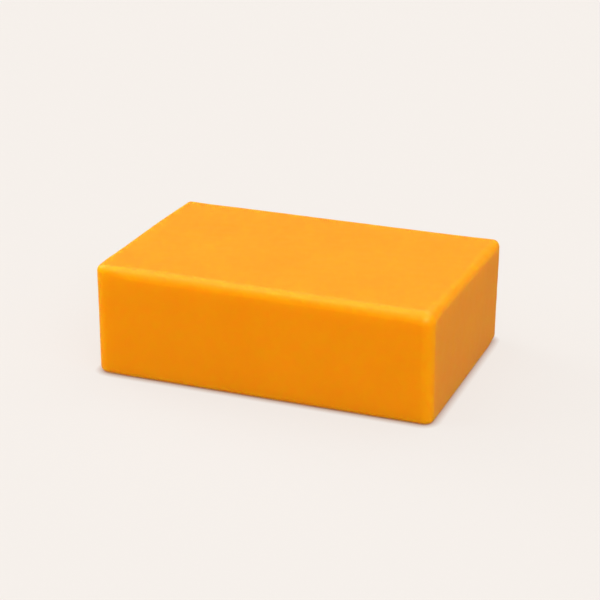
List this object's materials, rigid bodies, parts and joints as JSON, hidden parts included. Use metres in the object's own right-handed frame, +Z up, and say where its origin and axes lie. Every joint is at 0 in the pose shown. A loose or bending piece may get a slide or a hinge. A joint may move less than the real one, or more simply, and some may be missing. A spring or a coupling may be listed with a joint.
{
  "type": "cheddar cheese block",
  "caption": "Rectangular block of orange cheddar cheese with softly rounded edges, lying on its wide flat face.",
  "frame": {"origin": "middle of the underside, where the block rests", "axes": "+X along the long side, +Y to the back, +Z up through the block's thickness"},
  "size_m": [0.1256, 0.0846, 0.0413],
  "materials": {
    "cheddar": "smooth, slightly waxy cheese with a soft sheen; light enters a few millimetres and makes thin edges glow yellower"
  },
  "bodies": {
    "root": {"cheese_block": "cheddar"}
  },
  "joints": []
}
